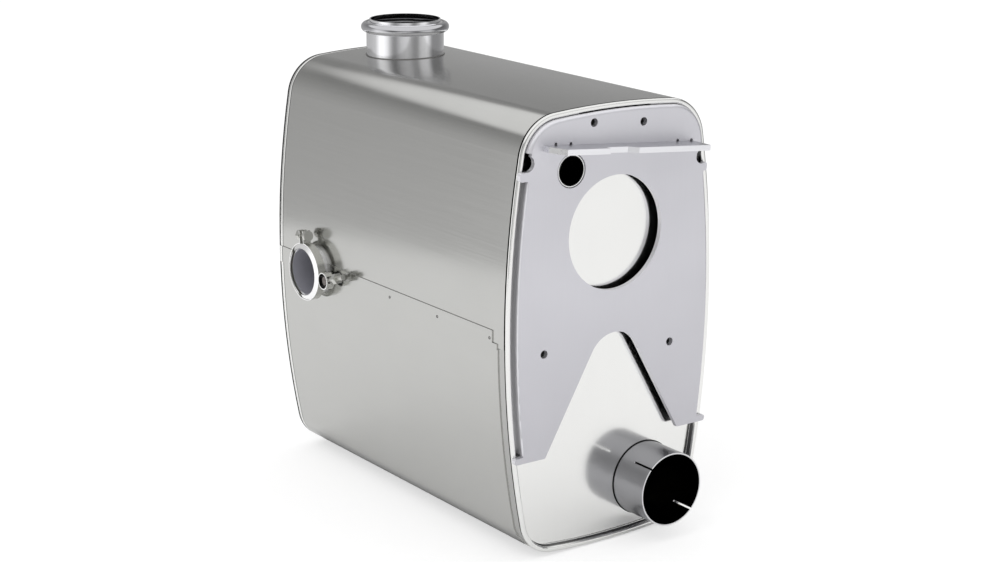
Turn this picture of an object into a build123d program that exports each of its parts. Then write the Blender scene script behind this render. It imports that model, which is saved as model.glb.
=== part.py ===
from build123d import *
import math
import os

# Catalytic muffler in millimetres: X across, Y from front to rear, Z up.
# The origin is on the mounting plate's front face, on the body's centre plane,
# at the height where the barrel section is widest.

# Body section, measured over the sheets
body_width = 364.0
body_height = 640.0
widest_height = 337.0
side_arc_radius = 1444.0
top_arc_radius = 1210.0
bottom_arc_radius = 1100.0
top_corner_radius = 64.0
bottom_corner_radius = 59.0

# Body length and the sheets around it
body_length = 609.6
sheet_thickness = 1.5
groove_width = 3.0
lap_top = 1.5
lap_depth = 22.5
lap_setback = 14.8
lap_notch = 11.0
lap_notch_depth = 17.3
fit_gap = 0.2
cut_margin = 1.0

# End caps with a hollow round rim
rim_width = 8.0
rim_depth = 3.2
rim_round = 3.1
rim_neck_inset = 4.0
cap_recess = 6.3
cap_corner_radius = 2.0
cap_thickness = 1.5
skirt_setback = 1.2
skirt_length = 30.0

# Inner liner, blanket and baffles
blanket_thickness = 10.0
blanket_end_gap = 0.6
liner_thickness = 1.0
baffle_thickness = 1.5
baffle_flange = 18.0
front_chamber = 82.0
rear_chamber = 167.0

# Catalysts
canister_side_gap = 42.0
canister_top_gap = 33.0
canister_between = 14.0
canister_wall = 1.5
canister_overhang = 14.0
mat_thickness = 5.5
mat_inset = 10.0
catalyst_inset = 10.8

# Inlet spigot with its bead and lip, heights measured from the crown
inlet_x = -3.0
inlet_rear_distance = 92.6
inlet_radius = 60.2
inlet_wall = 2.0
inlet_depth = 53.0
inlet_bead_rise = 42.0
inlet_bead_reach = 8.2
inlet_bead_half = 7.2
inlet_bead_step = 2.0
inlet_lip_radius = 55.2
inlet_lip_height = 4.1
inlet_lip_rise = 54.5

# Mixing pipe below the inlet
mixing_overlap = 30.0
mixing_wall = 1.5
mixing_hole_radius = 8.0
mixing_hole_rows = 5
mixing_hole_count = 6
mixing_hole_pitch = 34.0
mixing_low_row = 81.0

# Outlet pipe with its two clamping slots
outlet_side_distance = 111.0
outlet_floor_distance = 79.3
outlet_radius = 54.5
outlet_wall = 2.0
outlet_reach = 48.6
outlet_inside = 34.0
outlet_slot_width = 3.0
outlet_slot_length = 38.0
outlet_slot_angles = (135.0, -45.0)

# Sensor tube behind the plate
sensor_side_distance = 102.0
sensor_top_distance = 84.8
sensor_radius = 22.5
sensor_wall = 2.6
sensor_setback = 0.8
sensor_inside = 30.0
sensor_plate_gap = 1.4

# Mounting plate, heights measured down from the crown or up from the floor
plate_thickness = 7.0
plate_clearance = 0.2
plate_side_gap = 5.3
bend_radius = 2.0
crown_gap = 0.3
crown_bend_radius = 5.0
plate_foot_height = 151.0
plate_hole_radius = 81.8
plate_hole_x = -1.5
plate_hole_drop = 181.0
arch_half_angle = 29.7
arch_drop = 325.0
arch_radius = 45.0
toe_inset = 10.0
toe_height = 9.0
ear_height = 12.5
ear_left_inset = 15.5
ear_left_drop = 84.5
ear_right_inset = 19.5
ear_right_drop = 106.7
notch_radius = 10.8
notch_left_inset = 28.5
notch_left_drop = 67.0
notch_right_inset = 29.0
notch_right_drop = 91.5
relief_gap = 3.0
tip_round = 4.0

# Bolts and shelf share one small tilt
bracket_tilt = 5.0
bolt_hole_radius = 6.0
upper_bolt_x = 1.0
upper_bolt_drop = 26.2
upper_bolt_half_spacing = 43.6
lower_bolt_x = -11.0
lower_bolt_drop = 346.6
lower_bolt_half_spacing = 112.8
nut_across = 19.0
nut_height = 8.0
nut_bore_radius = 5.2

# Shelf
shelf_drop = 55.5
shelf_thickness = 8.0
shelf_depth = 36.5
shelf_left_inset = 54.0
shelf_right_inset = 45.0
shelf_chamfer = 13.0
shelf_chamfer_depth = 24.0
shelf_recess_left = -42.0
shelf_recess_right = -5.0
shelf_recess_ramp = 13.0
shelf_recess_depth = 9.0
shelf_left_tab_inset = 33.0
shelf_right_tab_inset = 17.3
shelf_tab_length = 25.5
shelf_relief_radius = 2.4
shelf_relief_rise = 1.2

# Side port and its flange
port_rear_distance = 111.6
port_z = -15.0
port_bore_radius = 35.5
port_wall = 2.0
port_reach = 25.0
port_mixing_gap = 5.0
port_flange_radius = 41.0
port_flange_front = 4.5
port_flange_thickness = 3.5
port_cone_depth = 2.5

# Clamp around the port flange
segment_thickness = 1.4
segment_lip_radius = 36.6
segment_back_step = 1.3
segment_shoulder = 42.0
segment_width = 18.0
segment_flank = 3.2
segment_count = 3
segment_gap_angle = 14.0
segment_turn = 44.0
band_thickness = 1.2
band_width = 13.0
ear_tab_height = 20.0
ear_tab_gap = 9.0
ear_tab_angle = 96.0
ear_bolt_radius = 4.0
ear_bolt_clearance = 0.3
ear_bolt_height = 12.0
ear_bolt_length = 24.0
ear_head_radius = 8.2
ear_head_height = 6.0
eye_outer_radius = 13.0
eye_wall = 1.6
eye_angle = -3.0
eye_slot_width = 9.0
eye_slot_height = 11.0
swing_bolt_radius = 4.0
swing_bolt_length = 52.0
swing_bolt_rise = 18.0
swing_nut_place = 28.0
clamp_nut_across = 15.0
clamp_nut_height = 9.0
trunnion_radius = 6.5
trunnion_length = 7.0
thread_gap = 0.05

# Places that follow from the values above
half_width = body_width / 2
body_bottom = -widest_height
body_top = body_height - widest_height
body_centre = (body_top + body_bottom) / 2
rim_front = plate_thickness + plate_clearance
rim_plane = rim_front + rim_depth
sheet_front = rim_plane + groove_width
skirt_front = sheet_front + skirt_setback
rim_rear = rim_plane + body_length
sheet_rear = rim_rear - groove_width
body_middle = (rim_plane + rim_rear) / 2
cap_face = rim_plane + cap_recess
cap_back = cap_face + cap_thickness
rear_inner = rim_plane + rim_rear - cap_back
skirt_inner = sheet_thickness + cap_thickness
liner_inset = skirt_inner + blanket_thickness + fit_gap
baffle_inset = liner_inset + liner_thickness + fit_gap / 2
front_baffle_place = cap_back + front_chamber
rear_baffle_place = rear_inner - rear_chamber - baffle_thickness
room_across = half_width - canister_side_gap
room_up = (body_height / 2 - canister_top_gap - canister_between / 2) / 2
canister_radius = min(room_across, room_up)
catalyst_radius = canister_radius - canister_wall - mat_thickness
catalyst_front = front_baffle_place + catalyst_inset
catalyst_rear = rear_baffle_place + baffle_thickness - catalyst_inset
canister_spread = canister_radius + canister_between / 2
upper_catalyst_height = body_centre + canister_spread
lower_catalyst_height = body_centre - canister_spread
inlet_y = rim_rear - inlet_rear_distance
mixing_radius = inlet_radius - inlet_wall - fit_gap
outlet_x = half_width - outlet_side_distance
outlet_z = body_bottom + outlet_floor_distance
sensor_x = sensor_side_distance - half_width
sensor_z = body_top - sensor_top_distance
plate_side_inset = rim_width + plate_side_gap
crown_inset = rim_width + crown_gap
crown_depth = cap_face - cap_corner_radius - fit_gap
crown_notch_width = 2 * (upper_bolt_half_spacing + nut_across)
plate_foot = body_bottom + plate_foot_height
plate_hole_z = body_top - plate_hole_drop
arch_top = body_top - arch_drop
ear_left_z = body_top - ear_left_drop
ear_right_z = body_top - ear_right_drop
notch_left_z = body_top - notch_left_drop
notch_right_z = body_top - notch_right_drop
upper_bolt_z = body_top - upper_bolt_drop
lower_bolt_z = body_top - lower_bolt_drop
shelf_z = body_top - shelf_drop
shelf_left = shelf_left_inset - half_width
shelf_right = half_width - shelf_right_inset
shelf_tab_centres = (shelf_left + shelf_left_tab_inset, shelf_right - shelf_right_tab_inset)
port_y = rim_rear - port_rear_distance
port_front = -half_width - port_reach
port_inner_end = inlet_x - mixing_radius - port_mixing_gap
band_inner = segment_shoulder + segment_thickness + fit_gap / 2
band_outer = band_inner + band_thickness
band_middle = port_front + segment_width / 2


# Helpers for the section and for solids along the body

def disc_part(radius, x, z):
    return Pos(x, z) * Circle(radius)


def barrel(side_inset=0.0, top_inset=None, corner=None):
    top_inset = side_inset if top_inset is None else top_inset
    side_radius = side_arc_radius - side_inset
    side_centre = side_arc_radius - half_width
    face = disc_part(side_radius, side_centre, 0) & disc_part(side_radius, -side_centre, 0)
    face &= disc_part(top_arc_radius - top_inset, 0, body_top - top_arc_radius)
    face &= disc_part(bottom_arc_radius - side_inset, 0, body_bottom + bottom_arc_radius)
    corners = face.vertices().sort_by(Axis.Y)
    top_radius = (top_corner_radius - side_inset) if corner is None else corner
    face = fillet(corners[-2:], top_radius)
    low = face.vertices().sort_by(Axis.Y)[:2]
    return fillet(low, bottom_corner_radius - side_inset)


def prism(face, front, rear):
    place = Plane(origin=(0, rear, 0), x_dir=(1, 0, 0), z_dir=(0, -1, 0))
    return extrude(place * face, amount=rear - front)


def band_box(low, high):
    middle = (low + high) / 2
    return Pos(0, middle) * Rectangle(2 * body_width, high - low)


def side_box(sign, low, high, inner, outer):
    return Pos(sign * (inner + outer) / 2, (low + high) / 2) * Rectangle(outer - inner, high - low)


def edges_at(solid, place):
    return solid.edges().filter_by_position(Axis.Y, place - fit_gap, place + fit_gap)


def tube_y(x, z, radius, wall, front, rear):
    ring = Pos(x, z) * (Circle(radius) - Circle(radius - wall))
    return prism(ring, front, rear)


def rod_y(x, z, radius, front, rear):
    return prism(Pos(x, z) * Circle(radius), front, rear)


def rod_x(y, z, radius, low, high):
    length = high - low
    return Location(((low + high) / 2, y, z), (0, 90, 0)) * Cylinder(radius, length)


def rod_z(x, y, radius, low, high):
    return Pos(x, y, (low + high) / 2) * Cylinder(radius, high - low)


def tilt_point(x, z, offset):
    angle = math.radians(bracket_tilt)
    return x + offset * math.cos(angle), z - offset * math.sin(angle)


def bolt_places():
    pairs = (
        (upper_bolt_x, upper_bolt_z, upper_bolt_half_spacing),
        (lower_bolt_x, lower_bolt_z, lower_bolt_half_spacing),
    )
    return [tilt_point(x, z, sign * half) for x, z, half in pairs for sign in (-1, 1)]


# Casing

def sheet_ring(inner_inset, outer_inset):
    return barrel(outer_inset) - barrel(inner_inset)


def inlet_cut(gap=fit_gap):
    return rod_z(inlet_x, inlet_y, inlet_radius + gap, 0, body_top + inlet_lip_rise)


def port_cut(gap=fit_gap):
    return rod_x(port_y, port_z, port_bore_radius + port_wall + gap, -body_width, port_inner_end)


def make_upper_shell():
    lap_low = lap_top - lap_depth
    face = sheet_ring(sheet_thickness, 0) & band_box(lap_low, body_top + cut_margin)
    shell = prism(face, sheet_front, sheet_rear)
    return shell - inlet_cut() - port_cut()


def make_lower_shell():
    lap_low = lap_top - lap_depth
    joggle = lap_low - fit_gap
    step = 2 * sheet_thickness
    main = sheet_ring(sheet_thickness, 0) & band_box(body_bottom - cut_margin, joggle - step)
    bend = sheet_ring(sheet_thickness, -sheet_thickness) & band_box(joggle - step, joggle)
    lap = sheet_ring(0, -sheet_thickness) & band_box(joggle, lap_top)
    front = sheet_front + lap_setback
    shell = Part()
    for face in (main, bend, lap):
        shell += prism(face, front, sheet_rear)
    for sign in (-1, 1):
        notch = side_box(sign, lap_top - lap_notch_depth, lap_top + cut_margin, half_width / 2, body_width)
        shell -= prism(notch, front - cut_margin, front + lap_notch)
    return shell - port_cut()


def make_cap():
    web_rear = skirt_front + cap_thickness
    rim = prism(barrel(0), rim_front, rim_plane)
    rim += prism(barrel(rim_neck_inset), rim_plane, skirt_front)
    rim += prism(barrel(sheet_thickness), skirt_front, rim_plane + skirt_length)
    pocket = prism(barrel(rim_width), rim_front - cut_margin, cap_face)
    rim -= fillet(edges_at(pocket, cap_face), cap_corner_radius)
    rim = fillet(edges_at(rim, rim_front), rim_round)
    rim -= prism(barrel(skirt_inner), cap_back, rim_plane + skirt_length + cut_margin)
    channel = barrel(skirt_inner) - barrel(rim_width - cap_thickness)
    return rim - prism(channel, web_rear, cap_back + cut_margin)


def make_front_cap():
    cap = make_cap()
    front = cap_face - cut_margin
    rear = cap_back + cut_margin
    cap -= rod_y(outlet_x, outlet_z, outlet_radius + fit_gap, front, rear)
    return cap - rod_y(sensor_x, sensor_z, sensor_radius + fit_gap, front, rear)


def make_rear_cap():
    middle = Plane(origin=(0, body_middle, 0), z_dir=(0, 1, 0))
    return make_cap().mirror(middle)


# Inside of the casing

def make_liner():
    face = sheet_ring(liner_inset + liner_thickness, liner_inset)
    liner = prism(face, cap_back + fit_gap, rear_inner - fit_gap)
    return liner - inlet_cut() - port_cut()


def make_blanket():
    face = sheet_ring(liner_inset - fit_gap / 2, skirt_inner + fit_gap / 2)
    blanket = prism(face, cap_back + blanket_end_gap, rear_inner - blanket_end_gap)
    return blanket - inlet_cut() - port_cut()


def make_baffle(place):
    disc = prism(barrel(baffle_inset), place, place + baffle_thickness)
    ring = sheet_ring(baffle_inset + baffle_thickness, baffle_inset)
    rear = place + baffle_flange
    baffle = disc + prism(ring, place, rear)
    for height in (upper_catalyst_height, lower_catalyst_height):
        baffle -= rod_y(0, height, canister_radius + fit_gap, place - cut_margin, rear + cut_margin)
    return baffle


def make_canister(height):
    front = front_baffle_place - canister_overhang
    rear = rear_baffle_place + canister_overhang
    return tube_y(0, height, canister_radius, canister_wall, front, rear)


def make_mat(height):
    outer = catalyst_radius + mat_thickness
    return tube_y(0, height, outer, mat_thickness, catalyst_front + mat_inset, catalyst_rear - mat_inset)


def make_catalyst(height):
    return rod_y(0, height, catalyst_radius, catalyst_front, catalyst_rear)


def inlet_profile():
    outer = inlet_radius
    inner = inlet_radius - inlet_wall
    lip_outer = inlet_lip_radius
    lip_inner = inlet_lip_radius - inlet_wall
    bottom = body_top - inlet_depth
    bead = body_top + inlet_bead_rise
    lip_top = body_top + inlet_lip_rise
    lip_foot = lip_top - inlet_lip_height
    bead_low = (outer, bead - inlet_bead_half)
    bead_high = (outer - inlet_bead_step, bead + inlet_bead_half)
    hollow_high = (inner - inlet_bead_step, bead + inlet_bead_half - inlet_wall)
    hollow_low = (inner, bead - inlet_bead_half + inlet_wall / 2)
    hollow_foot = lip_foot - inlet_wall / 2
    profile = Polyline((inner, bottom), (outer, bottom), bead_low)
    profile += ThreePointArc(bead_low, (outer + inlet_bead_reach, bead), bead_high)
    profile += Polyline(bead_high, (lip_outer, lip_foot), (lip_outer, lip_top), (lip_inner, lip_top))
    profile += Polyline((lip_inner, lip_top), (lip_inner, hollow_foot), hollow_high)
    profile += ThreePointArc(hollow_high, (outer + inlet_bead_reach - inlet_wall, bead), hollow_low)
    return profile + Line(hollow_low, (inner, bottom))


def make_inlet():
    face = Plane.XZ * make_face(inlet_profile())
    return Pos(inlet_x, inlet_y, 0) * revolve(face, Axis.Z)


def make_mixing_pipe():
    top = body_top - inlet_depth + mixing_overlap
    pipe = rod_z(inlet_x, inlet_y, mixing_radius, body_bottom, top)
    pipe -= rod_z(inlet_x, inlet_y, mixing_radius - mixing_wall, body_bottom, top + cut_margin)
    pipe &= prism(barrel(baffle_inset + fit_gap), cap_back, rear_inner)
    drill = Rotation(0, 90, 0) * Cylinder(mixing_hole_radius, 3 * mixing_radius)
    drills = mixing_hole_count // 2
    for row in range(mixing_hole_rows):
        height = body_bottom + mixing_low_row + row * mixing_hole_pitch
        for turn in range(drills):
            pipe -= Pos(inlet_x, inlet_y, height) * Rotation(0, 0, 180.0 * turn / drills) * drill
    return pipe - rod_x(port_y, port_z, port_bore_radius, -half_width, inlet_x)


def make_outlet():
    pipe = tube_y(outlet_x, outlet_z, outlet_radius, outlet_wall, -outlet_reach, cap_back + outlet_inside)
    round_end = outlet_slot_width / 2
    straight = outlet_slot_length - round_end
    depth = 3 * outlet_wall
    slot = Pos(outlet_radius, straight / 2, 0) * Box(depth, straight, outlet_slot_width)
    slot += Pos(outlet_radius, straight, 0) * Rotation(0, 90, 0) * Cylinder(round_end, depth)
    for angle in outlet_slot_angles:
        pipe -= Pos(outlet_x, -outlet_reach, outlet_z) * Rotation(0, -angle, 0) * slot
    return pipe


def make_sensor_tube():
    return tube_y(sensor_x, sensor_z, sensor_radius, sensor_wall, sensor_setback, cap_back + sensor_inside)


# Mounting bracket

def plate_shape(inset=0.0):
    return barrel(plate_side_inset + inset)


def crown_zone(sign):
    low = notch_left_z if sign < 0 else notch_right_z
    low += notch_radius + relief_gap
    return side_box(sign, low, body_top, 0, body_width)


def flange_zone(sign):
    ear_z = ear_left_z if sign < 0 else ear_right_z
    low = plate_foot + toe_height + relief_gap
    return side_box(sign, low, ear_z - ear_height / 2 - relief_gap, half_width / 2, body_width)


def side_tab(sign, height, tall, reach):
    tab = side_box(sign, height - tall / 2, height + tall / 2, half_width / 2, reach)
    ends = tab.vertices().sort_by(Axis.X)
    return fillet(ends[-2:] if sign > 0 else ends[:2], tip_round)


def plate_outline():
    face = plate_shape() & band_box(plate_foot, body_top)
    narrow = plate_shape(plate_thickness)
    for sign in (-1, 1):
        face -= crown_zone(sign)
        face -= flange_zone(sign) - narrow
        face += side_tab(sign, plate_foot + toe_height / 2, toe_height, half_width - toe_inset)
    face += side_tab(-1, ear_left_z, ear_height, half_width - ear_left_inset)
    face += side_tab(1, ear_right_z, ear_height, half_width - ear_right_inset)
    return face


def plate_arch():
    slope = math.tan(math.radians(arch_half_angle))
    point = arch_top + arch_radius * (1 / math.sin(math.radians(arch_half_angle)) - 1)
    low = plate_foot - cut_margin
    spread = (point - low) * slope
    wedge = make_face(Polyline((-spread, low), (spread, low), (0, point), close=True))
    return fillet(wedge.vertices().sort_by(Axis.Y)[-1:], arch_radius)


def shelf_point(along, depth):
    angle = math.radians(bracket_tilt)
    x, z = tilt_point(0, shelf_z, along)
    return x - depth * math.sin(angle), z - depth * math.cos(angle)


def shelf_slot(gap=0.0):
    slots = Sketch()
    for centre in shelf_tab_centres:
        x, z = shelf_point(centre, shelf_thickness / 2)
        slot = Rectangle(shelf_tab_length + 2 * gap, shelf_thickness + 2 * gap)
        slots += Pos(x, z) * Rot(0, 0, -bracket_tilt) * slot
    return slots


def slot_reliefs():
    marks = Sketch()
    for centre in shelf_tab_centres:
        for sign in (-1, 1):
            x, z = shelf_point(centre + sign * shelf_tab_length / 2, -shelf_relief_rise)
            marks += Pos(x, z) * Circle(shelf_relief_radius)
    return marks


def make_flange(sign):
    zone = flange_zone(sign)
    flange = prism((plate_shape() - plate_shape(plate_thickness)) & zone, 0, cap_face)
    long_edges = edges_at(flange, 0).sort_by(Edge.length)[-2:]
    outer = long_edges.sort_by(lambda edge: sign * edge.center().X)[-1:]
    return fillet(outer, bend_radius)


def make_crown():
    zone = crown_zone(-1) + crown_zone(1)
    crown = prism(barrel(crown_inset) & zone, 0, crown_depth)
    arcs = edges_at(crown, 0).filter_by(GeomType.CIRCLE)
    crown = fillet(arcs, crown_bend_radius)
    nut_room = Pos(upper_bolt_x, upper_bolt_z) * Rectangle(crown_notch_width, body_width)
    inner = barrel(crown_inset + plate_thickness) + nut_room
    return crown - prism(inner, plate_thickness, crown_depth + cut_margin)


def plate_holes():
    face = disc_part(plate_hole_radius, plate_hole_x, plate_hole_z) + plate_arch()
    face += disc_part(sensor_radius + sensor_plate_gap, sensor_x, sensor_z)
    face += disc_part(notch_radius, notch_left_inset - half_width, notch_left_z)
    face += disc_part(notch_radius, half_width - notch_right_inset, notch_right_z)
    face += shelf_slot(fit_gap / 2) + slot_reliefs()
    for x, z in bolt_places():
        face += disc_part(bolt_hole_radius, x, z)
    return face


def make_mounting_plate():
    plate = prism(plate_outline(), 0, plate_thickness) + make_crown()
    for sign in (-1, 1):
        plate += make_flange(sign)
    return plate - prism(plate_holes(), -cut_margin, plate_thickness + cut_margin)


def make_shelf():
    front = -shelf_depth
    recess = front + shelf_recess_depth
    outline = Polyline(
        (shelf_left, 0),
        (shelf_left, front + shelf_chamfer_depth),
        (shelf_left + shelf_chamfer, front),
        (shelf_recess_left, front),
        (shelf_recess_left, recess),
        (shelf_recess_right, recess),
        (shelf_recess_right + shelf_recess_ramp, front),
        (shelf_right, front),
        (shelf_right, 0),
        close=True,
    )
    face = make_face(outline)
    for centre in shelf_tab_centres:
        face += Pos(centre, plate_thickness / 2) * Rectangle(shelf_tab_length, plate_thickness)
    plate = extrude(face, amount=-shelf_thickness)
    return Location((0, 0, shelf_z), (0, bracket_tilt, 0)) * plate


def make_weld_nuts():
    shape = RegularPolygon(nut_across / 2, 6, major_radius=False) - Circle(nut_bore_radius)
    nuts = [
        prism(Pos(x, z) * Rot(0, 0, -bracket_tilt) * shape, plate_thickness, plate_thickness + nut_height)
        for x, z in bolt_places()
    ]
    return Compound(children=nuts)


# Side port and clamp, drawn as profiles of radius and distance and turned about the port's axis

def around_port(profile):
    face = make_face(profile)
    turned = revolve(face, Axis.X)
    return Pos(0, port_y, port_z) * turned


def make_port():
    outer = port_bore_radius + port_wall
    front = port_front + port_flange_front
    back = front + port_flange_thickness
    points = (
        (port_inner_end, port_bore_radius),
        (port_inner_end, outer),
        (back + port_cone_depth, outer),
        (back, port_flange_radius),
        (front + port_cone_depth, port_flange_radius),
        (front, outer),
        (front, port_bore_radius),
    )
    return around_port(Polyline(*points, close=True))


def segment_profile():
    front = port_front
    back = port_front + segment_width
    crest = segment_shoulder
    thick = segment_thickness
    points = (
        (front, segment_lip_radius),
        (front + segment_flank, crest + thick),
        (back - segment_flank, crest + thick),
        (back, segment_lip_radius + segment_back_step),
        (back - thick, segment_lip_radius + segment_back_step),
        (back - segment_flank - thick / 2, crest),
        (front + segment_flank + thick / 2, crest),
        (front + thick, segment_lip_radius),
    )
    return Polyline(*points, close=True)


def make_clamp_segments():
    step = 360.0 / segment_count
    face = make_face(segment_profile())
    pieces = []
    for number in range(segment_count):
        start = segment_turn + number * step + segment_gap_angle / 2
        part = revolve(Rot(start, 0, 0) * face, Axis.X, revolution_arc=step - segment_gap_angle)
        pieces.append(Pos(0, port_y, port_z) * part)
    return Compound(children=pieces)


def port_point(radius, angle):
    turn = math.radians(angle)
    return port_y - radius * math.cos(turn), port_z + radius * math.sin(turn)


def ear_frame(rise=0.0):
    turn = Location((0, port_y, port_z), (90 - ear_tab_angle, 0, 0))
    return turn * Pos(band_middle, 0, band_inner + rise)


def eye_frame(turn=0.0):
    eye_y, eye_z = port_point(band_outer + eye_outer_radius - eye_wall, eye_angle)
    return Location((band_middle, eye_y, eye_z), (turn, 0, 0))


def band_disc(place, radius, width):
    return place * Rotation(0, 90, 0) * Cylinder(radius, width)


def make_clamp_band():
    ring_place = Pos(band_middle, port_y, port_z)
    cut_width = band_width + 2 * cut_margin
    band = band_disc(ring_place, band_outer, band_width)
    band += band_disc(eye_frame(), eye_outer_radius, band_width)
    band -= band_disc(ring_place, band_inner, cut_width)
    band -= band_disc(eye_frame(), eye_outer_radius - eye_wall, cut_width)
    bolt_way = Pos(0, -eye_outer_radius, 0) * Box(eye_slot_width, 2 * eye_outer_radius, eye_slot_height)
    band -= eye_frame(-swing_bolt_rise) * bolt_way
    band -= ear_frame() * Box(cut_width, ear_tab_gap, 2 * ear_tab_height)
    for sign in (-1, 1):
        offset = sign * (ear_tab_gap + band_thickness) / 2
        tab = Box(band_width, band_thickness, ear_tab_height)
        band += ear_frame() * Pos(0, offset, ear_tab_height / 2) * tab
    hole = Rotation(90, 0, 0) * Cylinder(ear_bolt_radius + ear_bolt_clearance, ear_tab_gap + band_width)
    return band - ear_frame(ear_bolt_height) * hole


def along_tangent(shape, start, length):
    return Location((0, start + length, 0), (90, 0, 0)) * extrude(shape, amount=length)


def clamp_nut_shape(bore):
    return RegularPolygon(clamp_nut_across / 2, 6, major_radius=False) - Circle(bore)


def make_ear_bolt():
    face = -(ear_tab_gap / 2 + band_thickness)
    head = along_tangent(Circle(ear_head_radius), face - ear_head_height, ear_head_height)
    shank = along_tangent(Circle(ear_bolt_radius), face, ear_bolt_length)
    return ear_frame(ear_bolt_height) * (head + shank)


def make_ear_nut():
    face = ear_tab_gap / 2 + band_thickness
    nut = along_tangent(clamp_nut_shape(ear_bolt_radius + thread_gap), face, clamp_nut_height)
    return ear_frame(ear_bolt_height) * nut


def make_swing_bolt():
    trunnion = Rotation(0, 90, 0) * Cylinder(trunnion_radius, trunnion_length)
    shank = along_tangent(Circle(swing_bolt_radius), -swing_bolt_length, swing_bolt_length)
    return eye_frame(-swing_bolt_rise) * (trunnion + shank)


def make_swing_nut():
    shape = clamp_nut_shape(swing_bolt_radius + thread_gap)
    nut = along_tangent(shape, -swing_nut_place - clamp_nut_height, clamp_nut_height)
    return eye_frame(-swing_bolt_rise) * nut


# All pieces by name

def make_pieces():
    return {
        "upper_shell": make_upper_shell(),
        "lower_shell": make_lower_shell(),
        "front_cap": make_front_cap(),
        "rear_cap": make_rear_cap(),
        "inner_liner": make_liner(),
        "insulation_blanket": make_blanket(),
        "front_baffle": make_baffle(front_baffle_place),
        "rear_baffle": make_baffle(rear_baffle_place),
        "upper_canister": make_canister(upper_catalyst_height),
        "lower_canister": make_canister(lower_catalyst_height),
        "upper_mat": make_mat(upper_catalyst_height),
        "lower_mat": make_mat(lower_catalyst_height),
        "upper_catalyst": make_catalyst(upper_catalyst_height),
        "lower_catalyst": make_catalyst(lower_catalyst_height),
        "inlet_spigot": make_inlet(),
        "mixing_pipe": make_mixing_pipe(),
        "outlet_pipe": make_outlet(),
        "sensor_tube": make_sensor_tube(),
        "mounting_plate": make_mounting_plate(),
        "bracket_shelf": make_shelf(),
        "weld_nuts": make_weld_nuts(),
        "side_port": make_port(),
        "clamp_segments": make_clamp_segments(),
        "clamp_band": make_clamp_band(),
        "ear_bolt": make_ear_bolt(),
        "ear_nut": make_ear_nut(),
        "swing_bolt": make_swing_bolt(),
        "swing_nut": make_swing_nut(),
    }


os.makedirs("parts", exist_ok=True)
for name, piece in make_pieces().items():
    export_step(piece, f"parts/{name}.step")
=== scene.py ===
import bpy
import math
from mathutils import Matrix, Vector


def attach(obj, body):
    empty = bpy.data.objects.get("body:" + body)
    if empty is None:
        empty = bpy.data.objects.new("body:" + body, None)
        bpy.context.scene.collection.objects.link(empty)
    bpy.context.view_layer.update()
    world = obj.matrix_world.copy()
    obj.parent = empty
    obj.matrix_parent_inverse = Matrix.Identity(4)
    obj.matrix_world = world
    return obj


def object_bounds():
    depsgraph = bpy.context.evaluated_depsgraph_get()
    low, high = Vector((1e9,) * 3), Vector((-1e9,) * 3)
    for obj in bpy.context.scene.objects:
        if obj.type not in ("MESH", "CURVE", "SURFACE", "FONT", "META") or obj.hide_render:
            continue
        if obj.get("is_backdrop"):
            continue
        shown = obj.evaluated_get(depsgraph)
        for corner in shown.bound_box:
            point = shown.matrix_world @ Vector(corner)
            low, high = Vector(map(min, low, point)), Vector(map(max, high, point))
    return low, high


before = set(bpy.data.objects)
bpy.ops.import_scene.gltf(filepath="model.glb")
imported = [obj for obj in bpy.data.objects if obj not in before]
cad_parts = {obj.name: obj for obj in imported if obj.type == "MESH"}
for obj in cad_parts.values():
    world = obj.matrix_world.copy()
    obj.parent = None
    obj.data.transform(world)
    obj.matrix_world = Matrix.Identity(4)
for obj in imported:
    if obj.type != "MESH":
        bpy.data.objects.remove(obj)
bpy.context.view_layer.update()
print("frame loaded")

# Camera, fitted to the photo's vanishing lines
cameraView = {
    "place": (-1.78062, -2.19762, 0.81478),
    "turn": (74.8657, -0.2795, -35.6754),   # degrees about X, Y and Z
    "lens": 75.54,
    "sensor": 36.0,
    "far": 60.0,
}


def addCamera(view):
    data = bpy.data.cameras.new("photoCamera")
    data.lens = view["lens"]
    data.sensor_width = view["sensor"]
    data.clip_end = view["far"]
    camera = bpy.data.objects.new("photoCamera", data)
    bpy.context.collection.objects.link(camera)
    camera.location = view["place"]
    camera.rotation_euler = [math.radians(angle) for angle in view["turn"]]
    bpy.context.scene.camera = camera


addCamera(cameraView)
print("camera set")


# Node helpers
def newMaterial(name):
    material = bpy.data.materials.new(name)
    material.use_nodes = True
    tree = material.node_tree
    return material, tree, tree.nodes["Principled BSDF"]


def addNode(tree, kind, **settings):
    node = tree.nodes.new(kind)
    for key, value in settings.items():
        setattr(node, key, value)
    return node


def mathNode(tree, operation, first, second=0.0):
    node = addNode(tree, "ShaderNodeMath", operation=operation)
    for socket, value in zip(node.inputs, (first, second)):
        if isinstance(value, (int, float)):
            socket.default_value = value
        else:
            tree.links.new(value, socket)
    return node.outputs[0]


def remap(tree, value, low, high, newLow, newHigh):
    node = addNode(tree, "ShaderNodeMapRange", clamp=True)
    tree.links.new(value, node.inputs["Value"])
    for key, number in (("From Min", low), ("From Max", high), ("To Min", newLow), ("To Max", newHigh)):
        node.inputs[key].default_value = number
    return node.outputs["Result"]


def mixColour(tree, factor, first, second):
    node = addNode(tree, "ShaderNodeMix", data_type="RGBA")
    tree.links.new(factor, node.inputs["Factor"])
    for socket, value in ((node.inputs[6], first), (node.inputs[7], second)):
        if isinstance(value, tuple):
            socket.default_value = (*value, 1)
        else:
            tree.links.new(value, socket)
    return node.outputs[2]


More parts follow.
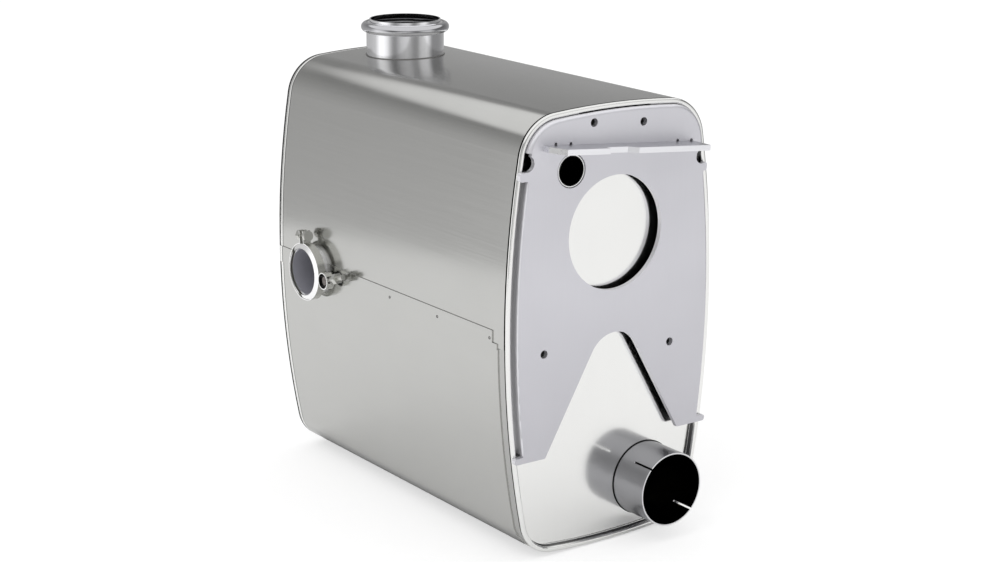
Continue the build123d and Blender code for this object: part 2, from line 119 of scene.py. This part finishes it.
def placeSocket(tree, stretch=(1, 1, 1), shift=(0, 0, 0)):
    where = addNode(tree, "ShaderNodeTexCoord")
    mapping = addNode(tree, "ShaderNodeMapping")
    mapping.inputs["Scale"].default_value = stretch
    mapping.inputs["Location"].default_value = shift
    tree.links.new(where.outputs["Object"], mapping.inputs["Vector"])
    return mapping.outputs["Vector"]


def placeParts(tree):
    split = addNode(tree, "ShaderNodeSeparateXYZ")
    tree.links.new(placeSocket(tree), split.inputs[0])
    return split.outputs


def normalSocket(tree):
    return addNode(tree, "ShaderNodeNewGeometry").outputs["Normal"]


def normalPart(tree, letter):
    split = addNode(tree, "ShaderNodeSeparateXYZ")
    tree.links.new(normalSocket(tree), split.inputs[0])
    return split.outputs[letter]


def normalAlong(tree, direction):
    dot = addNode(tree, "ShaderNodeVectorMath", operation="DOT_PRODUCT")
    tree.links.new(normalSocket(tree), dot.inputs[0])
    if isinstance(direction, tuple):
        dot.inputs[1].default_value = direction
    else:
        tree.links.new(direction, dot.inputs[1])
    return dot.outputs["Value"]


def noise(tree, stretch, detail):
    node = addNode(tree, "ShaderNodeTexNoise")
    node.inputs["Scale"].default_value = 1.0
    node.inputs["Detail"].default_value = detail
    tree.links.new(placeSocket(tree, stretch), node.inputs["Vector"])
    return node.outputs["Fac"]


def shade(colour, factor):
    return tuple(min(1.0, part * factor) for part in colour)


# Masks that mark a place on a piece: 1 inside, 0 outside
masks = {
    "middle": (0.0, -0.017),     # X and Z of the barrel section's middle
    "innerLimit": -0.05,         # below it, a face looks towards the middle
    "edgeLimit": 0.7,
    # range of normal Z over which painted shade darkens the casing's underside
    "underside": (-0.4, -0.92),
    # range over which plate faces turned sideways or up get a painted highlight
    "flange": (0.25, 0.75),
}


def awayFromAxis(tree, axis, centre):
    flat = [0.0 if letter == axis else 1.0 for letter in "xyz"]
    shift = [-part * keep for part, keep in zip(centre, flat)]
    return placeSocket(tree, flat, shift)


def nearAxis(tree, axis, centre, radius):
    node = addNode(tree, "ShaderNodeVectorMath", operation="LENGTH")
    tree.links.new(awayFromAxis(tree, axis, centre), node.inputs[0])
    return mathNode(tree, "LESS_THAN", node.outputs["Value"], radius)


def beyondAxis(tree, axis, centre, radius):
    return mathNode(tree, "SUBTRACT", 1.0, nearAxis(tree, axis, centre, radius))


def inward(tree, axis, centre):
    return mathNode(tree, "LESS_THAN", normalAlong(tree, awayFromAxis(tree, axis, centre)), 0.0)


def outward(tree, least):
    acrossMiddle, upMiddle = masks["middle"]
    away = placeSocket(tree, (1, 0, 1), (-acrossMiddle, 0, -upMiddle))
    return mathNode(tree, "GREATER_THAN", normalAlong(tree, away), least)


def facing(tree, direction, least):
    return mathNode(tree, "GREATER_THAN", normalAlong(tree, direction), least)


# Painted shade on the casing's underside, stronger as faces turn down
def underside(tree):
    return remap(tree, normalPart(tree, "Z"), *masks["underside"], 0, 1)


# Plate faces turned sideways or up, which get a painted highlight
def flangeSide(tree):
    sideways = mathNode(tree, "ABSOLUTE", normalPart(tree, "X"))
    return remap(tree, mathNode(tree, "MAXIMUM", sideways, normalPart(tree, "Z")), *masks["flange"], 0, 1)


def along(tree, letter, low, high):
    return remap(tree, placeParts(tree)[letter], low, high, 0, 1)


def between(tree, low, high):
    depth = placeParts(tree)["Y"]
    above = mathNode(tree, "GREATER_THAN", depth, low)
    return mathNode(tree, "MULTIPLY", above, mathNode(tree, "LESS_THAN", depth, high))


def onInnerSide(tree, low, high):
    inner = mathNode(tree, "SUBTRACT", 1.0, outward(tree, masks["innerLimit"]))
    return mathNode(tree, "MULTIPLY", inner, between(tree, low, high))


def onOuterSide(tree, least, low, high):
    return mathNode(tree, "MULTIPLY", outward(tree, least), between(tree, low, high))


def onEdge(tree, direction, low, high):
    return mathNode(tree, "MULTIPLY", facing(tree, direction, masks["edgeLimit"]), between(tree, low, high))


# Metal with drawn grain, cloudy roughness and faint stains. Paint is a list of masks with their tones, mostly
# painted shade and painted highlights.
metalGrain = {
    "cloud": (9, 9, 9),
    "grainDetail": 3.0,
    "cloudDetail": 2.0,
    "stain": 0.12,
    "stainShade": 0.72,
    "bumpDistance": 0.0004,
    "colourSpan": (0.3, 0.7),      # spans of the noise that are spread over the full range
    "stainSpan": (0.35, 0.75),
    "fineSpan": (0.25, 0.75),
    "patchSpan": (0.3, 0.7),
}


def grainColour(tree, spec, grain, cloud):
    low, high = shade(spec["colour"], 1 - spec["vary"]), shade(spec["colour"], 1 + spec["vary"])
    colour = mixColour(tree, remap(tree, grain, *metalGrain["colourSpan"], 0, 1), low, high)
    stain = remap(tree, cloud, *metalGrain["stainSpan"], 0, spec.get("stain", metalGrain["stain"]))
    return mixColour(tree, stain, colour, shade(spec["colour"], metalGrain["stainShade"]))


def grainRoughness(tree, spec, grain, cloud):
    fine = remap(tree, grain, *metalGrain["fineSpan"], -spec["spread"], spec["spread"])
    patch = remap(tree, cloud, *metalGrain["patchSpan"], -spec["spread"], spec["spread"])
    return mathNode(tree, "ADD", mathNode(tree, "ADD", fine, patch), spec["rough"])


def addBump(tree, shader, height, strength, distance):
    bump = addNode(tree, "ShaderNodeBump")
    bump.inputs["Strength"].default_value = strength
    bump.inputs["Distance"].default_value = distance
    tree.links.new(height, bump.inputs["Height"])
    tree.links.new(bump.outputs["Normal"], shader.inputs["Normal"])
    return bump


# Rolled bead along the rear edge, as a bump with a round section
def addRoll(tree, roll, bump):
    part = along(tree, "Y", roll["from"], roll["to"])
    left = mathNode(tree, "SUBTRACT", 1.0, part)
    section = mathNode(tree, "SQRT", mathNode(tree, "MULTIPLY", part, left))
    node = addNode(tree, "ShaderNodeBump")
    node.inputs["Distance"].default_value = roll["height"]
    tree.links.new(section, node.inputs["Height"])
    tree.links.new(node.outputs["Normal"], bump.inputs["Normal"])


def metal(spec, *paint):
    material, tree, shader = newMaterial(spec["name"])
    grain = noise(tree, spec["grain"], metalGrain["grainDetail"])
    cloud = noise(tree, metalGrain["cloud"], metalGrain["cloudDetail"])
    colour = grainColour(tree, spec, grain, cloud)
    for mask, tone in paint:
        colour = mixColour(tree, mask(tree), colour, tones[tone])
    tree.links.new(colour, shader.inputs["Base Color"])
    shader.inputs["Metallic"].default_value = spec.get("metallic", 1.0)
    tree.links.new(grainRoughness(tree, spec, grain, cloud), shader.inputs["Roughness"])
    bump = addBump(tree, shader, grain, spec["bump"], metalGrain["bumpDistance"])
    if "roll" in spec:
        addRoll(tree, spec["roll"], bump)
    return material


# Fibre and ceramic
dullGrain = {
    "detail": 6.0,
    "dark": 0.8,
    "light": 1.1,
    "spread": 0.08,
    "bump": 0.6,
    "bumpDistance": 0.001,
    "span": (0.3, 0.7),
}


def dull(spec):
    material, tree, shader = newMaterial(spec["name"])
    grain = noise(tree, spec["grain"], dullGrain["detail"])
    low, high = shade(spec["colour"], dullGrain["dark"]), shade(spec["colour"], dullGrain["light"])
    colour = mixColour(tree, remap(tree, grain, *dullGrain["span"], 0, 1), low, high)
    tree.links.new(colour, shader.inputs["Base Color"])
    spread = dullGrain["spread"]
    rough = remap(tree, grain, *dullGrain["span"], spec["rough"] - spread, spec["rough"] + spread)
    tree.links.new(rough, shader.inputs["Roughness"])
    addBump(tree, shader, grain, dullGrain["bump"], dullGrain["bumpDistance"])
    return material


looks = {
    "casing": {"name": "casingSteel", "colour": (0.56, 0.56, 0.545), "vary": 0.012, "rough": 0.16,
               "spread": 0.02, "grain": (420, 5, 420), "bump": 0.015, "stain": 0.06,
               "roll": {"from": 0.6105, "to": 0.6166, "height": 0.0024}},
    "cap": {"name": "capSteel", "colour": (0.87, 0.87, 0.855), "vary": 0.01, "rough": 0.15,
            "spread": 0.015, "grain": (400, 400, 9), "bump": 0.01, "stain": 0.04},
    "plate": {"name": "plateSteel", "colour": (0.67, 0.665, 0.705), "vary": 0.01, "rough": 0.42,
              "metallic": 0.8, "spread": 0.03, "grain": (420, 420, 14), "bump": 0.02, "stain": 0.05},
    "shelf": {"name": "shelfSteel", "colour": (0.90, 0.90, 0.93), "vary": 0.015, "rough": 0.3,
              "spread": 0.03, "grain": (14, 420, 420), "bump": 0.02, "stain": 0.05},
    "pipe": {"name": "pipeSteel", "colour": (0.38, 0.38, 0.40), "vary": 0.01, "rough": 0.3,
             "spread": 0.015, "grain": (500, 8, 500), "bump": 0.008},
    "inlet": {"name": "inletSteel", "colour": (0.88, 0.88, 0.90), "vary": 0.02, "rough": 0.12,
              "spread": 0.02, "grain": (500, 500, 8), "bump": 0.01},
    "sensor": {"name": "sensorSteel", "colour": (0.86, 0.86, 0.86), "vary": 0.03, "rough": 0.25,
               "spread": 0.03, "grain": (600, 10, 600), "bump": 0.02},
    "port": {"name": "portSteel", "colour": (0.82, 0.82, 0.82), "vary": 0.03, "rough": 0.42,
             "metallic": 0.6, "spread": 0.03, "grain": (10, 600, 600), "bump": 0.02},
    "clamp": {"name": "clampSteel", "colour": (0.58, 0.58, 0.55), "vary": 0.03, "rough": 0.18,
              "metallic": 0.85, "spread": 0.04, "grain": (10, 700, 700), "bump": 0.03},
    "zinc": {"name": "zincSteel", "colour": (0.62, 0.62, 0.59), "vary": 0.06, "rough": 0.3,
             "spread": 0.05, "grain": (500, 500, 500), "bump": 0.05},
    "inner": {"name": "innerSteel", "colour": (0.09, 0.09, 0.09), "vary": 0.1, "rough": 0.5,
              "spread": 0.06, "grain": (300, 12, 300), "bump": 0.05},
    "mixing": {"name": "mixingSteel", "colour": (0.45, 0.45, 0.49), "vary": 0.06, "rough": 0.4,
               "spread": 0.06, "grain": (300, 300, 12), "bump": 0.04},
    "bead": {"name": "weldSteel", "colour": (0.22, 0.215, 0.21), "vary": 0.12, "rough": 0.35,
             "spread": 0.08, "grain": (900, 900, 900), "bump": 0.12},
    # near-black for the spot weld marks, and for the ring of painted shade at the outlet pipe's joint
    "markAndGapShade": {"name": "darkMarkAndGapShade", "colour": (0.02, 0.02, 0.02), "vary": 0.2, "rough": 0.6,
             "spread": 0.08, "grain": (900, 900, 900), "bump": 0.12},
}
looks["rearCap"] = {**looks["cap"], "name": "rearCapSteel"}
looks["pin"] = {**looks["zinc"], "name": "pinSteel"}
looks["nut"] = {**looks["zinc"], "name": "nutSteel", "colour": (0.10, 0.10, 0.10)}
dullLooks = {
    "fibre": {"name": "matFibre", "colour": (0.80, 0.78, 0.72), "rough": 0.9, "grain": (160, 160, 160)},
    "ceramic": {"name": "catalystCeramic", "colour": (0.70, 0.60, 0.42), "rough": 0.85,
                "grain": (700, 90, 700)},
}
tones = {
    # painted shade inside the outlet pipe and the sensor tube
    "tubeInsideShade": (0.006, 0.006, 0.006),
    # painted shade in the front groove and on the sheet edges in it
    "frontGrooveShade": (0.02, 0.02, 0.02),
    # painted shade in the rear groove and on the sheet edges in it
    "rearGrooveShade": (0.22, 0.22, 0.21),
    # painted shade as a dark line before the rear roll
    "rearLineShade": (0.14, 0.14, 0.14),
    # painted highlight along the rear roll
    "rearRollHighlight": (0.92, 0.92, 0.90),
    # painted shade on the casing's underside
    "shellUnderShade": (0.13, 0.13, 0.125),
    # painted highlight on plate faces turned sideways or up
    "flange": (0.82, 0.815, 0.85),
    # painted shade towards the plate's bottom
    "plateLowShade": (0.575, 0.57, 0.605),
    # painted highlight towards the plate's top
    "plateUpperHighlight": (0.72, 0.715, 0.755),
    # painted shade on the plate's back
    "plateBackShade": (0.05, 0.05, 0.053),
    # painted shade on the shelf's top
    "shelfTopShade": (0.62, 0.62, 0.65),
    # painted shade on the inlet's bead
    "inletBeadShade": (0.58, 0.58, 0.60),
    # painted shade inside the inlet
    "inletHollowShade": (0.28, 0.28, 0.29),
    # painted highlight on the shelf's slant, the clamp's lip and the rear rim
    "highlight": (1.0, 1.0, 1.0),
    "skirt": (0.50, 0.50, 0.49),
    # painted shade on the inner walls of the caps' recesses
    "wallShade": (0.14, 0.14, 0.14),
    # painted highlight on the outlet pipe's end face
    "pipeEndHighlight": (0.72, 0.72, 0.73),
    # painted shade in the port's bore
    "boreShade": (0.54, 0.54, 0.59),
    # painted shade inside the clamp's loop
    "loopShade": (0.05, 0.05, 0.05),
    # painted shade on the pin inside the clamp's loop
    "pin": (0.20, 0.18, 0.17),
}

# Places of the painted shade and painted highlights, in metres in the part's frame
tubes = {
    "outlet": {"axis": "y", "centre": (0.071, 0.0, -0.2577), "inside": 0.0535},
    "sensor": {"axis": "y", "centre": (-0.080, 0.0, 0.2182), "inside": 0.0212},
    "port": {"axis": "x", "centre": (0.0, 0.5084, -0.015), "inside": 0.0365},
    "inlet": {"axis": "z", "centre": (-0.003, 0.5274, 0.0), "bead": 0.0608},
    "loopShade": {"axis": "x", "centre": (0.0, 0.4525, -0.0179), "inside": 0.0117},
}
# Y places at the caps' grooves; each groove's tone is painted shade in the groove and on the sheet edges there
grooves = {
    "front": {"rim": 0.0103, "sheet": 0.0136, "skirt": 0.0147, "hidden": 0.06, "face": 0.0166,
              "side": (0, -1, 0), "tone": "frontGrooveShade"},
    "rear": {"rim": 0.6201, "sheet": 0.6168, "skirt": 0.6157, "hidden": 0.57, "face": 0.6138,
             "end": 1.0, "side": (0, 1, 0), "tone": "rearGrooveShade"},
}
outwardLimits = {"groove": -0.002, "skirt": 0.05, "rim": 0.0}   # above it, a face looks outwards
# Y bands near the rear edge: painted shade as a dark line, then a painted highlight along the roll
casingBands = {"line": (0.6085, 0.6102), "roll": (0.6105, 0.6168)}
# Z ranges over which painted shade fades in towards the plate's bottom and a painted highlight towards its top
plateBands = {"low": (0.06, -0.16), "high": (0.20, 0.28)}
# Faces turned these ways get painted shade (the plate's back, the shelf's top) or a painted highlight (the
# shelf's slant, the pipe's end, the clamp's lip)
facings = {
    "plateBackShade": ((0, 1, 0), 0.5),
    "shelfTopShade": ((0, 0, 1), 0.45),
    "shelfSlant": ((-0.88, -0.48, 0), 0.9),
    "pipeEndHighlight": ((0, -1, 0), 0.6),
    "clampLip": ((-1, 0, 0), 0.75),
}


def insideOf(tube):
    return lambda tree: nearAxis(tree, tube["axis"], tube["centre"], tube["inside"])


def hollowOf(tube):
    return lambda tree: inward(tree, tube["axis"], tube["centre"])


def beadOf(tube):
    return lambda tree: beyondAxis(tree, tube["axis"], tube["centre"], tube["bead"])


def sideOf(name):
    return lambda tree: facing(tree, *facings[name])


def bandOf(band):
    return lambda tree: between(tree, *band)


def riseOf(band):
    return lambda tree: along(tree, "Z", *band)


def grooveOf(groove):
    low, high = sorted((groove["rim"], groove["skirt"]))
    return lambda tree: onOuterSide(tree, outwardLimits["groove"], low, high)


def skirtOf(groove):
    low, high = sorted((groove["skirt"], groove["hidden"]))
    return lambda tree: onOuterSide(tree, outwardLimits["skirt"], low, high)


def sheetEdgeOf(groove):
    low, high = sorted((groove["rim"], groove["sheet"]))
    return lambda tree: onEdge(tree, groove["side"], low, high)


def wallOf(groove):
    low, high = sorted((groove["rim"], groove["face"]))
    return lambda tree: onInnerSide(tree, low, high)


# Outer side of the rear rim, which gets a painted highlight
def rearRim(tree):
    return onOuterSide(tree, outwardLimits["rim"], grooves["rear"]["rim"], grooves["rear"]["end"])


def capPaint(groove):
    return (grooveOf(groove), groove["tone"]), (skirtOf(groove), "skirt"), (wallOf(groove), "wallShade")


edgePaint = [(sheetEdgeOf(groove), groove["tone"]) for groove in grooves.values()]
materials = {
    # the casing gets painted shade on its underside, on the sheet edges in both grooves and as a line before
    # the rear roll, and a painted highlight along the rear roll
    "casing": metal(looks["casing"], (underside, "shellUnderShade"), (bandOf(casingBands["line"]), "rearLineShade"),
                    (bandOf(casingBands["roll"]), "rearRollHighlight"), *edgePaint),
    # the front cap gets painted shade in its groove and on its recess wall, and a grey skirt
    "cap": metal(looks["cap"], *capPaint(grooves["front"])),
    # the rear cap gets painted shade in its groove and on its recess wall, a grey skirt, and a painted
    # highlight on its rim
    "rearCap": metal(looks["rearCap"], *capPaint(grooves["rear"]), (rearRim, "highlight")),
    # the plate gets painted shade towards its bottom and on its back, and painted highlights towards its top
    # and on faces turned sideways or up
    "plate": metal(looks["plate"], (riseOf(plateBands["low"]), "plateLowShade"),
                   (riseOf(plateBands["high"]), "plateUpperHighlight"), (flangeSide, "flange"),
                   (sideOf("plateBackShade"), "plateBackShade")),
    # the shelf gets painted shade on its top and a painted highlight on its left slant
    "shelf": metal(looks["shelf"], (sideOf("shelfTopShade"), "shelfTopShade"), (sideOf("shelfSlant"), "highlight")),
    # the outlet pipe gets painted shade inside and a painted highlight on its end face
    "pipe": metal(looks["pipe"], (insideOf(tubes["outlet"]), "tubeInsideShade"), (sideOf("pipeEndHighlight"), "pipeEndHighlight")),
    # the inlet gets painted shade on its bead and on its inward faces
    "inlet": metal(looks["inlet"], (beadOf(tubes["inlet"]), "inletBeadShade"),
                   (hollowOf(tubes["inlet"]), "inletHollowShade")),
    # the sensor tube gets painted shade inside
    "sensor": metal(looks["sensor"], (insideOf(tubes["sensor"]), "tubeInsideShade")),
    # the port gets painted shade in its bore
    "port": metal(looks["port"], (insideOf(tubes["port"]), "boreShade")),
    # the clamp gets a painted highlight on its lip and painted shade inside its loop
    "clamp": metal(looks["clamp"], (sideOf("clampLip"), "highlight"), (insideOf(tubes["loopShade"]), "loopShade")),
    "zinc": metal(looks["zinc"]),
    # the pin gets painted shade inside the clamp's loop
    "pin": metal(looks["pin"], (insideOf(tubes["loopShade"]), "pin")),
    "nut": metal(looks["nut"]),
    "inner": metal(looks["inner"]),
    "mixing": metal(looks["mixing"]),
    "bead": metal(looks["bead"]),
    "markAndGapShade": metal(looks["markAndGapShade"]),
    "fibre": dull(dullLooks["fibre"]),
    "ceramic": dull(dullLooks["ceramic"]),
}
nodeLooks = {
    "upper_shell": "casing", "lower_shell": "casing", "front_cap": "cap", "rear_cap": "rearCap",
    "inner_liner": "inner", "insulation_blanket": "fibre", "front_baffle": "inner", "rear_baffle": "inner",
    "upper_canister": "inner", "lower_canister": "inner", "upper_mat": "fibre", "lower_mat": "fibre",
    "upper_catalyst": "ceramic", "lower_catalyst": "ceramic", "inlet_spigot": "inlet", "mixing_pipe": "mixing",
    "outlet_pipe": "pipe", "sensor_tube": "sensor", "mounting_plate": "plate", "bracket_shelf": "shelf",
    "weld_nuts": "nut", "side_port": "port", "clamp_segments": "clamp", "clamp_band": "clamp",
    "ear_bolt": "zinc", "ear_nut": "zinc", "swing_bolt": "pin", "swing_nut": "zinc",
}


def dressNodes():
    for node, look in nodeLooks.items():
        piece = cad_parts[node]
        piece.data.materials.clear()
        piece.data.materials.append(materials[look])


dressNodes()
print("materials set")


# Welds, marks and a dark ring of painted shade. Each is a ring, and the inlet's ring is then laid on the
# casing's crown.
def ring(radius, thick, around, across):
    bpy.ops.object.select_all(action="DESELECT")
    bpy.ops.mesh.primitive_torus_add(major_radius=radius, minor_radius=thick,
                                     major_segments=around, minor_segments=across)
    return bpy.context.object


def finishPiece(piece, name, look):
    piece.name = name
    bpy.ops.object.transform_apply(location=True, rotation=True, scale=True)
    piece.data.materials.append(materials[look])
    bpy.ops.object.shade_smooth()
    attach(piece, "root")


inletWeld = {
    "centre": (-0.003, 0.5274),
    "radius": 0.0607,
    "thick": 0.0011,
    "around": 480,
    "across": 12,
    "crown": 0.303,
    "arc": 1.21,       # radius of the casing's crown
    "ripples": 120,
    "wave": 0.12,
}


def addInletWeld(spec):
    piece = ring(spec["radius"], spec["thick"], spec["around"], spec["across"])
    for vertex in piece.data.vertices:
        x, y, z = vertex.co
        angle = math.atan2(y, x)
        swell = 1 + spec["wave"] * abs(math.sin(angle * spec["ripples"] / 2))
        reach = spec["radius"] + (math.hypot(x, y) - spec["radius"]) * swell
        across = reach * math.cos(angle) + spec["centre"][0]
        sag = across * across / (2 * spec["arc"])
        vertex.co = (across, reach * math.sin(angle) + spec["centre"][1], spec["crown"] - sag + z * swell)
    finishPiece(piece, "inletWeld", "bead")


# A dark ring of painted shade where the outlet pipe meets the front cap
outletGapShade = {
    "centre": (0.071, 0.0163, -0.2577),
    "radius": 0.0549,
    "thick": 0.0008,
    "around": 160,
    "across": 10,
}


def addOutletGapShade(spec):
    piece = ring(spec["radius"], spec["thick"], spec["around"], spec["across"])
    piece.rotation_euler = (math.radians(90), 0, 0)
    piece.location = spec["centre"]
    finishPiece(piece, "outletGapShade", "markAndGapShade")


# Spot welds below the joint of the two shells, three on each side
spotWelds = {
    "radius": 0.0017,
    "thick": 0.00042,
    "around": 40,
    "across": 8,
    "height": -0.0105,
    "places": (0.045, 0.173, 0.297),
    "side": 0.1835,
}


def addSpotWelds(spec):
    for number, place in enumerate(spec["places"]):
        for sign, letter in ((-1, "L"), (1, "R")):
            piece = ring(spec["radius"], spec["thick"], spec["around"], spec["across"])
            piece.rotation_euler = (0, math.radians(90), 0)
            piece.location = (sign * spec["side"], place, spec["height"])
            finishPiece(piece, "spotWeld%d%s" % (number, letter), "markAndGapShade")


addInletWeld(inletWeld)
addOutletGapShade(outletGapShade)
addSpotWelds(spotWelds)
print("welds set")

# Lip of the clamp, carried on across the gap between two segments.
# The section is swept about the port's axis.
lipBridge = {
    "section": ((-0.2070, 0.0366), (-0.2038, 0.0434), (-0.2031, 0.0420), (-0.2056, 0.0366)),   # X and radius
    "centre": (0.0, 0.5084, -0.015),
    "from": 171.0,   # degrees about X, swept back from there
    "sweep": 14.0,
    "steps": 14,
    "crease": 30.0,
}


def addLipBridge(spec):
    bpy.ops.object.select_all(action="DESELECT")
    bpy.ops.mesh.primitive_circle_add(vertices=len(spec["section"]), fill_type="NGON")
    piece = bpy.context.object
    start = math.radians(spec["from"])
    for vertex, (x, radius) in zip(piece.data.vertices, spec["section"]):
        vertex.co = (x, radius * math.cos(start), radius * math.sin(start))
    bpy.ops.object.mode_set(mode="EDIT")
    bpy.ops.mesh.select_all(action="SELECT")
    bpy.ops.mesh.spin(steps=spec["steps"], angle=math.radians(spec["sweep"]), center=(0, 0, 0), axis=(1, 0, 0))
    bpy.ops.mesh.select_all(action="SELECT")
    bpy.ops.mesh.normals_make_consistent(inside=False)
    bpy.ops.object.mode_set(mode="OBJECT")
    piece.location = spec["centre"]
    finishPiece(piece, "lipBridge", "clamp")
    bpy.ops.object.shade_smooth_by_angle(angle=math.radians(spec["crease"]))


addLipBridge(lipBridge)
print("clamp lip set")

# White floor that keeps the shadow. The camera sees it a little brighter than the metal does.
floorLook = {
    "size": 60.0,
    "drop": 0.001,
    "colour": (0.95, 0.95, 0.95, 1),
    "seenColour": (0.45, 0.45, 0.45, 1),
    "seenGlow": 0.62,
}


def diffuseNode(tree, colour):
    node = addNode(tree, "ShaderNodeBsdfDiffuse")
    node.inputs["Color"].default_value = colour
    return node.outputs[0]


def floorMaterial(spec):
    material, tree, shader = newMaterial("floorWhite")
    tree.nodes.remove(shader)
    glow = addNode(tree, "ShaderNodeEmission")
    glow.inputs["Strength"].default_value = spec["seenGlow"]
    lit = addNode(tree, "ShaderNodeAddShader")
    tree.links.new(diffuseNode(tree, spec["seenColour"]), lit.inputs[0])
    tree.links.new(glow.outputs[0], lit.inputs[1])
    path = addNode(tree, "ShaderNodeLightPath")
    seen = mathNode(tree, "MAXIMUM", path.outputs["Is Camera Ray"], path.outputs["Is Transmission Ray"])
    choice = addNode(tree, "ShaderNodeMixShader")
    tree.links.new(seen, choice.inputs[0])
    tree.links.new(diffuseNode(tree, spec["colour"]), choice.inputs[1])
    tree.links.new(lit.outputs[0], choice.inputs[2])
    tree.links.new(choice.outputs[0], tree.nodes["Material Output"].inputs["Surface"])
    return material


def addFloor(spec):
    bpy.ops.object.select_all(action="DESELECT")
    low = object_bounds()[0]
    bpy.ops.mesh.primitive_plane_add(size=spec["size"], location=(0, 0, low[2] - spec["drop"]))
    floor = bpy.context.object
    floor.name = "floor"
    floor.data.materials.append(floorMaterial(spec))
    floor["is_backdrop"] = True


# Soft cards round the object, a ring that only reflections see. A turn of 0 is +X, 0.25 is +Y.
softCards = {
    "radius": (2.4, 4.0),
    "sides": 128,
    "height": 3.05,
    "softFrom": 2.55,
    "topStrength": 0.38,
    "sky": (2.8, 2.8, 2.8),
    "turns": ((0.0, 0.28), (0.05, 0.33), (0.10, 0.44), (0.15, 0.50), (0.22, 0.51), (0.30, 0.56),
              (0.345, 0.63), (0.362, 0.65), (0.385, 1.0), (0.41, 1.35), (0.445, 1.25), (0.475, 1.0),
              (0.50, 0.57), (0.527, 0.30), (0.555, 0.30), (0.60, 0.57), (0.64, 0.70), (0.675, 0.72),
              (0.70, 0.58), (0.73, 0.44), (0.755, 0.46), (0.80, 0.93), (0.865, 1.0), (0.89, 0.69),
              (0.925, 0.28), (1.0, 0.28)),
}


def turnLevels(tree, parts, turns):
    angle = mathNode(tree, "ARCTAN2", parts["Y"], parts["X"])
    turn = mathNode(tree, "FRACT", mathNode(tree, "DIVIDE", angle, 2 * math.pi))
    ramp = addNode(tree, "ShaderNodeValToRGB")
    while len(ramp.color_ramp.elements) < len(turns):
        ramp.color_ramp.elements.new(0.5)
    for element, (place, level) in zip(ramp.color_ramp.elements, turns):
        element.position = place
        element.color = (level, level, level, 1)
    tree.links.new(turn, ramp.inputs["Fac"])
    return ramp.outputs["Color"]


def cardMaterial(spec, low):
    material, tree, shader = newMaterial("softCard")
    tree.nodes.remove(shader)
    parts = placeParts(tree)
    top = low + spec["height"]
    fade = remap(tree, parts["Z"], low, top, 1.0, spec["topStrength"])
    soft = remap(tree, parts["Z"], low + spec["softFrom"], top, 0, 1)
    shaded = mixColour(tree, soft, turnLevels(tree, parts, spec["turns"]), spec["sky"])
    glow = addNode(tree, "ShaderNodeEmission")
    tree.links.new(shaded, glow.inputs["Color"])
    tree.links.new(fade, glow.inputs["Strength"])
    tree.links.new(glow.outputs[0], tree.nodes["Material Output"].inputs["Surface"])
    return material


def addCards(spec):
    bpy.ops.object.select_all(action="DESELECT")
    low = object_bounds()[0][2]
    bottom, top = spec["radius"]
    bpy.ops.mesh.primitive_cone_add(vertices=spec["sides"], radius1=bottom, radius2=top, depth=spec["height"],
                                    end_fill_type="NOTHING", location=(0, 0, low + spec["height"] / 2))
    cards = bpy.context.object
    cards.name = "softCards"
    bpy.ops.object.transform_apply(location=True)
    cards.data.materials.append(cardMaterial(spec, low))
    cards.visible_camera = False
    cards.visible_diffuse = False
    cards.visible_shadow = False
    cards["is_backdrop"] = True


studioWorld = {"colour": (1, 1, 1, 1), "strength": 1.0}


def addWorld(spec):
    world = bpy.data.worlds.new("studio")
    bpy.context.scene.world = world
    world.use_nodes = True
    back = world.node_tree.nodes["Background"]
    back.inputs["Color"].default_value = spec["colour"]
    back.inputs["Strength"].default_value = spec["strength"]


softLamp = {
    "place": (-2.6, -1.2, 3.6),
    "aim": (0.0, 0.3, -0.017),
    "size": 2.2,
    "power": 20.0,
}


def addLamp(spec):
    data = bpy.data.lights.new("softLamp", "AREA")
    data.shape = "DISK"
    data.size = spec["size"]
    data.energy = spec["power"]
    lamp = bpy.data.objects.new("softLamp", data)
    bpy.context.collection.objects.link(lamp)
    lamp.location = spec["place"]
    lamp.visible_glossy = False
    aim = Vector(spec["aim"]) - lamp.location
    lamp.rotation_euler = aim.to_track_quat("-Z", "Y").to_euler()


addFloor(floorLook)
addCards(softCards)
addWorld(studioWorld)
addLamp(softLamp)
bpy.context.scene.view_settings.view_transform = "Standard"
print("stage set")
